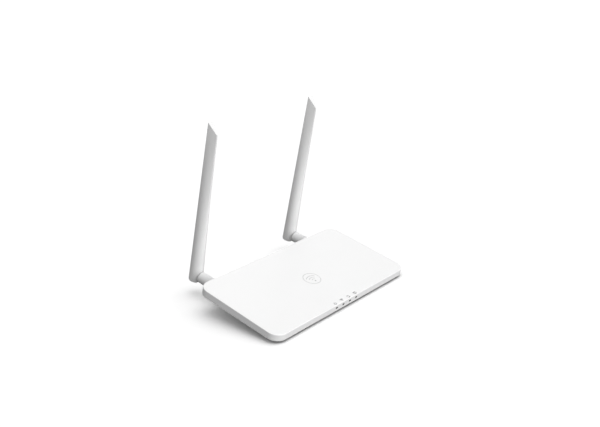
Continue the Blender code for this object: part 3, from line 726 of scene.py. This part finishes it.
def make_screws():
    """Pan-head screws driven up along the deck's normal, with cross recesses in their heads."""
    profile = [(SCREW_RADIUS * 0.6, SCREW_LENGTH), (SCREW_RADIUS, SCREW_LENGTH - 0.8 * MM),
               (SCREW_RADIUS, 0), (SCREW_HEAD_RADIUS, 0)]
    steps = 8
    for i in range(steps + 1):
        angle = math.pi / 2 * i / steps
        profile.append((SCREW_HEAD_RADIUS * (0.55 + 0.45 * math.cos(angle)),
                        -SCREW_HEAD * (0.25 + 0.75 * math.sin(angle))))
    half, reach = 0.35 * MM, SCREW_HEAD_RADIUS * 0.5
    for number, (x, y) in enumerate(COVER_SCREWS, 1):
        cross = [("DIFFERENCE", block(-a, a, -b, b, -SCREW_HEAD - MM, -SCREW_HEAD * 0.4))
                 for a, b in ((reach, half), (half, reach))]
        place = DECK @ Matrix.Translation((x, y, screw_seat(y) - 0.1 * MM))
        screw = shape(f"case_screw_{number}", lathe(profile, 48), cross, place)
        dress(screw, "steel", "housing", f"cover_screw_{number}")


# ---------------------------------------------------------------- indicators and print

def make_light_pipe():
    """Smoked bar behind the front band, with a finger out to each window."""
    half, low, high = LED_WINDOW - PIPE_GAP, WINDOW_FOOT + PIPE_GAP, WINDOW_HEAD - PIPE_GAP
    bar = block(-PIPE_HALF, PIPE_HALF, PIPE_FRONT, PIPE_REAR, PIPE_FOOT, high, 0.4 * MM, "X")
    fingers = [block(x - half, x + half, 0.15 * MM, PIPE_FRONT + MM, low, high, 0.3 * MM, "Y")
               for x in LED_COLUMNS]
    pipe = shape("indicator_pipe", bar, [("UNION", together(*fingers))])
    dress(pipe, "smoked", "housing", "light_pipe")


def stroke(points, width):
    """Flat printed line along points, given as (x, y) pairs, with square ends."""
    points = [Vector(point) for point in points]
    left, right = [], []
    for i, point in enumerate(points):
        run = (points[min(i + 1, len(points) - 1)] - points[max(i - 1, 0)]).normalized()
        side = Vector((-run.y, run.x)) * width / 2
        left.append(point + side)
        right.append(point - side)
    outline = left + right[::-1]
    bm = bmesh.new()
    low = [bm.verts.new((p.x, p.y, -INK)) for p in outline]
    high = [bm.verts.new((p.x, p.y, INK)) for p in outline]
    count, last = len(outline), len(points) - 1
    for i in range(count):
        j = (i + 1) % count
        bm.faces.new((low[i], low[j], high[j], high[i]))
    for i in range(last):
        j, k, m = i + 1, count - 2 - i, count - 1 - i
        bm.faces.new((high[i], high[j], high[k], high[m]))
        bm.faces.new((low[m], low[k], low[j], low[i]))
    bmesh.ops.recalc_face_normals(bm, faces=bm.faces)
    return bm


def bow(radius, start, end, centre=(0, 0), steps=20):
    """Points along an arc, angles in degrees."""
    angles = [math.radians(start + (end - start) * i / steps) for i in range(steps + 1)]
    return [(centre[0] + radius * math.cos(a), centre[1] + radius * math.sin(a)) for a in angles]


def dot(radius, centre):
    """Flat printed disc."""
    bm = lathe([(radius, -INK), (radius, INK)], 32)
    return moved(bm, Matrix.Translation((*centre, 0)))


def power_icon(width):
    """Broken ring with a stroke in its gap."""
    return [stroke(bow(1.1 * MM, 125, 415), width), stroke([(0, 0.1 * MM), (0, 1.45 * MM)], width)]


def waves_icon(width):
    """Dot with three arcs over it."""
    foot = (0, -1.1 * MM)
    arcs = [stroke(bow(r * MM, 45, 135, foot), width) for r in (1, 1.75, 2.5)]
    return [dot(0.3 * MM, foot)] + arcs


def link_icon(width):
    """Two arcs that chase each other, each ending in an arrow's head."""
    parts = []
    for start in (20, 200):
        parts.append(stroke(bow(1.2 * MM, start, start + 125), width))
        angle = math.radians(start + 140)
        tip = Vector((1.2 * MM * math.cos(angle), 1.2 * MM * math.sin(angle)))
        along = Vector((-math.sin(angle), math.cos(angle)))
        out = Vector((math.cos(angle), math.sin(angle)))
        tail = tip - along * 0.45 * MM
        parts.append(stroke([tail - out * 0.45 * MM, tip + along * 0.1 * MM], width * 0.8))
        parts.append(stroke([tail + out * 0.5 * MM, tip + along * 0.1 * MM], width * 0.8))
    return parts


def socket_icon(width):
    """Outline of a network socket with its contacts."""
    half, low, high = 1.35 * MM, -1.1 * MM, 1.2 * MM
    frame_line = [(-half, low), (half, low), (half, high), (-half, high), (-half, low)]
    parts = [stroke([a, b], width) for a, b in zip(frame_line, frame_line[1:])]
    parts += [stroke([(x * MM, 0.25 * MM), (x * MM, high)], width * 0.8) for x in (-0.6, 0, 0.6)]
    return parts + [stroke([(-0.55 * MM, low + 0.25 * MM), (0.55 * MM, low + 0.25 * MM)], width)]


def make_icons():
    """Generic icons printed on the deck, one above each indicator window."""
    icons = [("power", power_icon), ("wireless", waves_icon),
             ("link", link_icon), ("network", socket_icon)]
    for (name, draw), x in zip(icons, LED_COLUMNS):
        for number, part in enumerate(draw(ICON_LINE), 1):
            moved(part, Matrix.Translation((x, ICON_Y, 0)))
            printed(f"icon_{name}_{number}", part, INK_DARK)


def make_emblem():
    """Generic wireless symbol in thin pale lines: a dot and three arcs inside a ring."""
    ring = stroke(bow(EMBLEM_RADIUS, 0, 360, EMBLEM_MIDDLE, 96), 0.4 * MM)
    arcs = [stroke(bow(r, 48, 132, EMBLEM_FOOT, 40), 0.45 * MM) for r in EMBLEM_WAVES]
    for number, part in enumerate([ring, dot(0.75 * MM, EMBLEM_FOOT)] + arcs, 1):
        printed(f"deck_symbol_{number}", part, INK_PALE)


# ---------------------------------------------------------------- buttons

def make_button(label, x, radius, tip):
    """Round cap with a flange behind the wall and a shallow dish in its face."""
    start = SWITCH_FACE + 1.7 * MM
    reach, edge, flange = tip - start, 0.4 * MM, radius + 0.9 * MM
    dish = 0.22 * MM
    profile = [(radius * 0.3, reach - dish), (radius * 0.6, reach - dish * 0.5)]
    profile += [(radius - across, reach - edge + up) for across, up in reversed(quarter(edge))]
    profile += [(radius, 2.8 * MM), (flange, 2.8 * MM), (flange, 1.8 * MM), (radius, 1.8 * MM),
                (radius, 0)]
    place = DECK @ Matrix.Translation((x, start, BUTTON_Z)) @ REARWARDS
    key = shape(f"{label}_key", lathe(profile), matrix=place)
    dress(key, "shell", f"{label}_cap", f"{label}_button")


# ---------------------------------------------------------------- antennas

def ring_outlines():
    """The sleeve's outlines, point for point: its round foot, and the four-sided blade of its tip.

    The blade's corners come in the order front, back, back, front, as seen from the tip, and are
    softened.
    """
    corners = [Vector((BLADE_FRONT_HALF, -BLADE_FRONT)), Vector((BLADE_BACK_HALF, BLADE_BACK)),
               Vector((-BLADE_BACK_HALF, BLADE_BACK)), Vector((-BLADE_FRONT_HALF, -BLADE_FRONT))]
    back = math.atan2(BLADE_BACK, BLADE_BACK_HALF)
    front = math.atan2(BLADE_FRONT, BLADE_FRONT_HALF)
    marks = [-front, back, math.pi - back, math.pi + front, math.tau - front]
    circle, blade = [], []
    for i, count in enumerate((30, 20, 30, 8)):
        for share in (step / count for step in range(count)):
            angle = marks[i] + (marks[i + 1] - marks[i]) * share
            circle.append(SLEEVE_RADIUS * Vector((math.cos(angle), math.sin(angle))))
            blade.append(corners[i].lerp(corners[(i + 1) % 4], share))
    for _ in range(BLADE_SOFTENINGS):
        before, after = blade[-1:] + blade[:-1], blade[1:] + blade[:1]
        blade = [(first + 2 * point + last) / 4 for first, point, last in zip(before, blade, after)]
    return circle, blade


CIRCLE, BLADE = ring_outlines()


def sleeve_ring(height, inset=0.0, slanted=False, sink=0.0):
    """Ring of the sleeve: round at the foot, a blade at the tip, and a straight blend between."""
    share = (height - SLEEVE_FOOT) / (SLEEVE_TIP - SLEEVE_FOOT)
    ring = []
    for round_point, blade_point in zip(CIRCLE, BLADE):
        point = round_point.lerp(blade_point, share)
        point *= 1 - inset / point.length
        drop = TIP_DROP * (BLADE_BACK - point.y) / (BLADE_BACK + BLADE_FRONT) if slanted else 0
        ring.append(Vector((point.x, point.y, height - drop - sink)))
    return ring


def side_prism(outline, half_width):
    """Prism across the hinge, from an outline given as (y, z) pairs seen from +X, anticlockwise."""
    return loft([[Vector((x, y, z)) for y, z in outline] for x in (-half_width, half_width)])


def knuckle_clearance():
    """Rounds the fork's lower front corner about the pin, so it passes the stub's shoulder."""
    reach = SLEEVE_RADIUS + MM
    corner = [(-reach, -reach), (0, -reach)]
    corner += bow(KNUCKLE_RADIUS, 270, 180, steps=31) + [(-reach, 0)]
    return side_prism(corner, reach)


def slot_for_tongue():
    """Slot in the fork: open to the front and below, closed at the back."""
    radius = TONGUE_RADIUS + GAP
    reach = SLEEVE_RADIUS + MM
    slot = [(-reach, -reach), (radius, -reach)] + bow(radius, 0, 90, steps=24) + [(-reach, radius)]
    return side_prism(slot, TONGUE_HALF_WIDTH + GAP)


def make_sleeve(side, place):
    """Antenna sleeve, blended from a round, forked foot to a slanted blade."""
    rings = [sleeve_ring(SLEEVE_FOOT, inset=SLEEVE_EDGE + 0.4 * MM)]
    for across, up in quarter(SLEEVE_EDGE, 8):
        rings.append(sleeve_ring(SLEEVE_FOOT + across, inset=SLEEVE_EDGE - up))
    count = 22
    first, last = SLEEVE_FOOT + SLEEVE_EDGE, SLEEVE_TIP - TIP_DROP - 3 * MM
    rings += [sleeve_ring(first + (last - first) * i / count) for i in range(1, count + 1)]
    rings += [sleeve_ring(SLEEVE_TIP, slanted=True, sink=TIP_EDGE),
              sleeve_ring(SLEEVE_TIP, inset=TIP_EDGE * 0.3, slanted=True, sink=TIP_EDGE * 0.3),
              sleeve_ring(SLEEVE_TIP, inset=TIP_EDGE, slanted=True)]
    bore = rod(AERIAL_BORE, (0, 0, TONGUE_RADIUS - MM), (0, 0, AERIAL_TOP), 42)
    reach = 4.4 * MM
    pins = rod(PIN_RADIUS, (-reach, 0, 0), (reach, 0, 0), 42)
    steps = [("DIFFERENCE", part) for part in (knuckle_clearance(), slot_for_tongue(), bore, pins)]
    dress(shape(f"{side}_sleeve", loft(rings), steps, place), "antenna", f"{side}_antenna",
          f"{side}_antenna_cover")


def make_stub(side, place):
    """Swivel barrel: a neck held in the rear wall, a tapered body, and the tongue of the hinge."""
    root = PEDESTAL_REAR + GAP - HINGE_Y
    inside = PEDESTAL_REAR - WALL - HINGE_Y
    neck_end = NECK_END - HINGE_Y
    groove, edge = 3.5 * MM, 0.5 * MM
    groove_rear, groove_front = inside - 0.5 * MM, inside - 1.5 * MM
    profile = [(COAX_BORE, -SHOULDER), (STUB_RADIUS - edge - 0.3 * MM, -SHOULDER)]
    profile += [(STUB_RADIUS - edge + up, -SHOULDER - across) for across, up in quarter(edge)]
    profile += [(STUB_ROOT_RADIUS, root + 0.4 * MM), (STUB_ROOT_RADIUS - 0.25 * MM, root),
                (NECK_RADIUS, root), (NECK_RADIUS, groove_rear), (groove, groove_rear),
                (groove, groove_front), (NECK_RADIUS, groove_front), (NECK_RADIUS, neck_end),
                (COAX_BORE, neck_end)]
    half, root_end = TONGUE_HALF_WIDTH, -SHOULDER - MM
    knuckle = [(PIN_DROP + y, z) for y, z in bow(TONGUE_RADIUS, 0, 180, steps=36)]
    tongue = [(TONGUE_ROOT, root_end)] + knuckle + [(PIN_DROP - TONGUE_RADIUS, root_end)]
    channel, reach = 0.9 * MM, TONGUE_RADIUS + MM
    way_out = block(-channel, channel, -reach, channel, GAP - SHOULDER, reach)
    root_bore = block(-channel, channel, -channel, channel, -SHOULDER - 3 * MM, MM - SHOULDER)
    pin_hole = rod(PIN_RADIUS, (-half - MM, PIN_DROP, 0), (half + MM, PIN_DROP, 0))
    steps = [("UNION", side_prism(tongue, half))]
    steps += [("DIFFERENCE", part) for part in (way_out, root_bore, pin_hole)]
    stub = shape(f"{side}_barrel", lathe(profile, 96, closed=True), steps, place @ REARWARDS)
    dress(stub, "antenna", f"{side}_swivel", f"{side}_stub")


def make_antenna(side):
    place = Matrix.Translation(HINGES[side]) @ TILTED
    make_sleeve(side, place)
    make_stub(side, place @ Matrix.Translation((0, 0, PIN_DROP)))


# ---------------------------------------------------------------- CAD nodes that stay

def refine(node, width):
    """Small rounds on a boxy CAD node's edges."""
    obj = frame["nodes"][node]
    weld = obj.modifiers.new("weld", "WELD")
    weld.merge_threshold = 0.001 * MM
    bevel = obj.modifiers.new("bevel", "BEVEL")
    bevel.width = width
    bevel.segments = 3
    bevel.limit_method = "ANGLE"
    bevel.angle_limit = math.radians(50)
    weighted = obj.modifiers.new("weighted_normals", "WEIGHTED_NORMAL")
    weighted.keep_sharp = True


def dress_cad_nodes():
    """Gives every CAD node its slot's material, and rounds the two sockets' edges."""
    slots = {entry["node"]: entry["material_slot"] for entry in frame["record"]["subparts"]}
    for name, obj in frame["nodes"].items():
        paint(obj, FINISHES[slots[name]])
    for name in ("lan_jack", "power_jack"):
        refine(name, 0.2 * MM)


# ---------------------------------------------------------------- stage

def split_by_camera(tree, shown, given, surface):
    """Sends one shader to the camera's own rays and the other to all the rest of the light."""
    path = tree.nodes.new("ShaderNodeLightPath")
    mix = tree.nodes.new("ShaderNodeMixShader")
    tree.links.new(path.outputs["Is Camera Ray"], mix.inputs["Fac"])
    tree.links.new(given, mix.inputs[1])
    tree.links.new(shown, mix.inputs[2])
    tree.links.new(mix.outputs["Shader"], surface)


def make_floor():
    """Pale floor. It shows near white, and gives back less light to the object than it shows."""
    bpy.ops.mesh.primitive_plane_add(size=FLOOR_SIZE, location=(0, 0, -0.02 * MM))
    floor = bpy.context.object
    floor.name = "floor"
    mat = bpy.data.materials.new("pale_floor")
    mat.use_nodes = True
    nodes = mat.node_tree.nodes
    nodes.remove(nodes["Principled BSDF"])
    shown = nodes.new("ShaderNodeBsdfDiffuse")
    shown.inputs["Color"].default_value = (*grey(FLOOR_SHOWN), 1)
    given = nodes.new("ShaderNodeBsdfDiffuse")
    given.inputs["Color"].default_value = (*grey(FLOOR_GIVEN), 1)
    split_by_camera(mat.node_tree, shown.outputs["BSDF"], given.outputs["BSDF"],
                    nodes["Material Output"].inputs["Surface"])
    floor.data.materials.append(mat)
    return floor


def make_sun(name, towards_light, strength, spread, spares=None):
    """Soft distant light. The collection that it spares gets none of it."""
    light = bpy.data.lights.new(name, "SUN")
    light.energy = strength
    light.angle = math.radians(spread)
    lamp = bpy.data.objects.new(name, light)
    lamp.rotation_euler = Vector(towards_light).to_track_quat("Z", "Y").to_euler()
    bpy.context.scene.collection.objects.link(lamp)
    if spares:
        lamp.light_linking.receiver_collection = spares
        for member in spares.collection_objects:
            member.light_linking.link_state = "EXCLUDE"


def make_lights(*sheltered):
    """Even sky that shows white, a wide light overhead, and fills that spare sheltered objects."""
    world = bpy.data.worlds.new("studio")
    world.use_nodes = True
    nodes = world.node_tree.nodes
    given = nodes["Background"]
    given.inputs["Color"].default_value = (1, 1, 1, 1)
    given.inputs["Strength"].default_value = SKY
    shown = nodes.new("ShaderNodeBackground")
    shown.inputs["Color"].default_value = (1, 1, 1, 1)
    shown.inputs["Strength"].default_value = 1
    split_by_camera(world.node_tree, shown.outputs["Background"], given.outputs["Background"],
                    nodes["World Output"].inputs["Surface"])
    bpy.context.scene.world = world
    spared = bpy.data.collections.new("spared_by_fills")
    for obj in sheltered:
        spared.objects.link(obj)
    for name, towards_light, strength, spread, spares in LIGHTS:
        make_sun(name, towards_light, strength, spread, spared if spares else None)


def make_camera():
    """Camera at the photograph's viewing angle."""
    camera = bpy.data.cameras.new("camera")
    camera.lens = CAMERA_LENS
    camera.sensor_width = CAMERA_SENSOR
    camera.clip_start = 0.01
    camera.clip_end = 50
    holder = bpy.data.objects.new("camera", camera)
    holder.location = CAMERA_PLACE
    holder.rotation_euler = (math.radians(CAMERA_PITCH), 0, math.radians(CAMERA_HEADING))
    bpy.context.scene.collection.objects.link(holder)
    bpy.context.scene.camera = holder


# ---------------------------------------------------------------- the object

bpy.context.scene.view_settings.view_transform = "Standard"
make_camera()
dress_cad_nodes()
make_top_cover()
make_lights(make_floor(), make_bottom_cover())
make_feet()
make_label()
make_screws()
make_light_pipe()
make_icons()
make_emblem()
make_button("wps", WPS_X, WPS_RADIUS, PEDESTAL_REAR + 0.9 * MM)
make_button("reset", RESET_X, RESET_RADIUS, PEDESTAL_REAR - 0.4 * MM)
make_antenna("left")
make_antenna("right")
